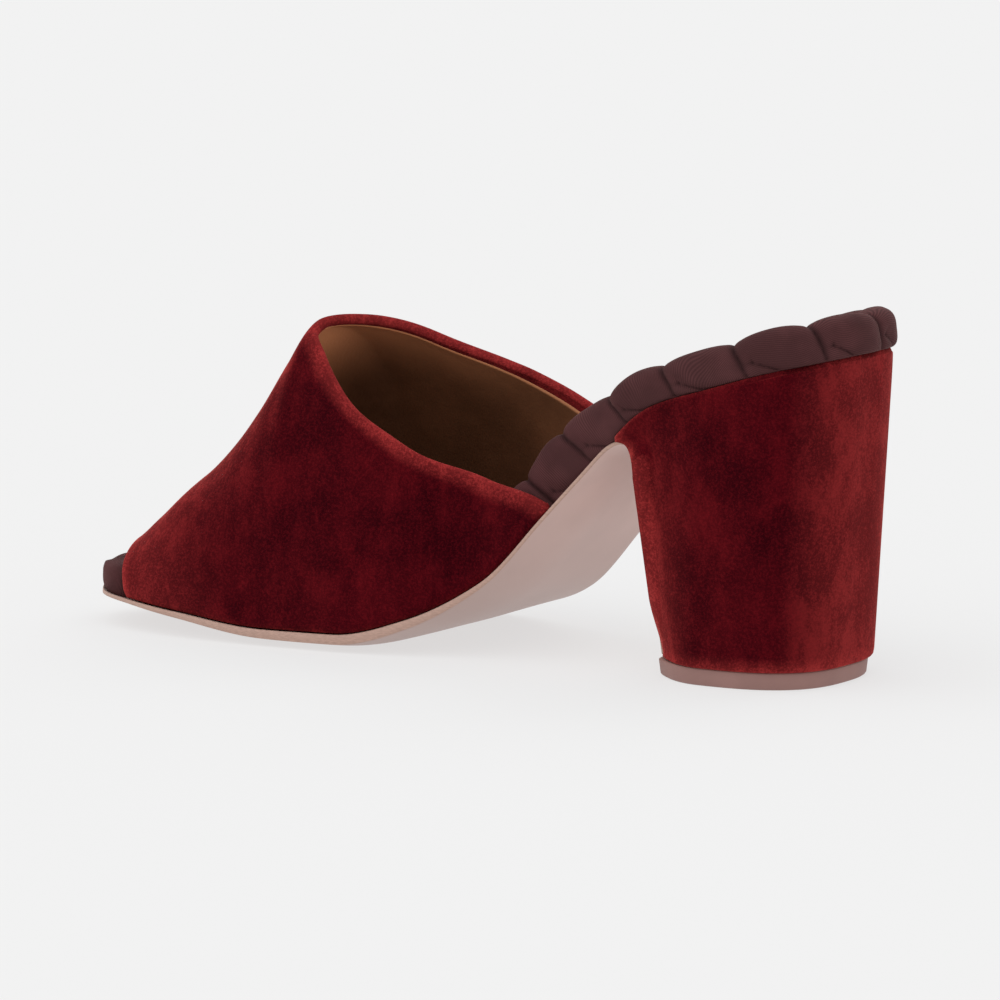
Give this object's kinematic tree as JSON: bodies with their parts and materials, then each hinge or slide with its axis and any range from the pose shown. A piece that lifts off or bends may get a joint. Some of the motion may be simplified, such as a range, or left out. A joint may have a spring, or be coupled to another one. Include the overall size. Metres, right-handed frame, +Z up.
{
  "type": "block heel mule",
  "caption": "Slip-on shoe for the right foot with an open toe, a high collar over the instep, a padded plaited rim round the footbed and a tall block heel.",
  "frame": {"origin": "on the floor under the middle of the heel's tread", "axes": "+Z up, -X towards the toe, -Y towards the inner side of the foot"},
  "size_m": [0.2244, 0.0787, 0.0947],
  "materials": {
    "sole_leather": "smooth dusty pink sole leather",
    "velvet": "deep red velvet with a short nap",
    "ribbed_fabric": "dark plum finely ribbed fabric",
    "heel_rubber": "matt mauve rubber"
  },
  "bodies": {
    "root": {"outsole": "sole_leather", "upper": "velvet", "footbed": "ribbed_fabric", "footbed_rim": "ribbed_fabric", "heel_block": "velvet", "top_piece": "heel_rubber"}
  },
  "joints": []
}
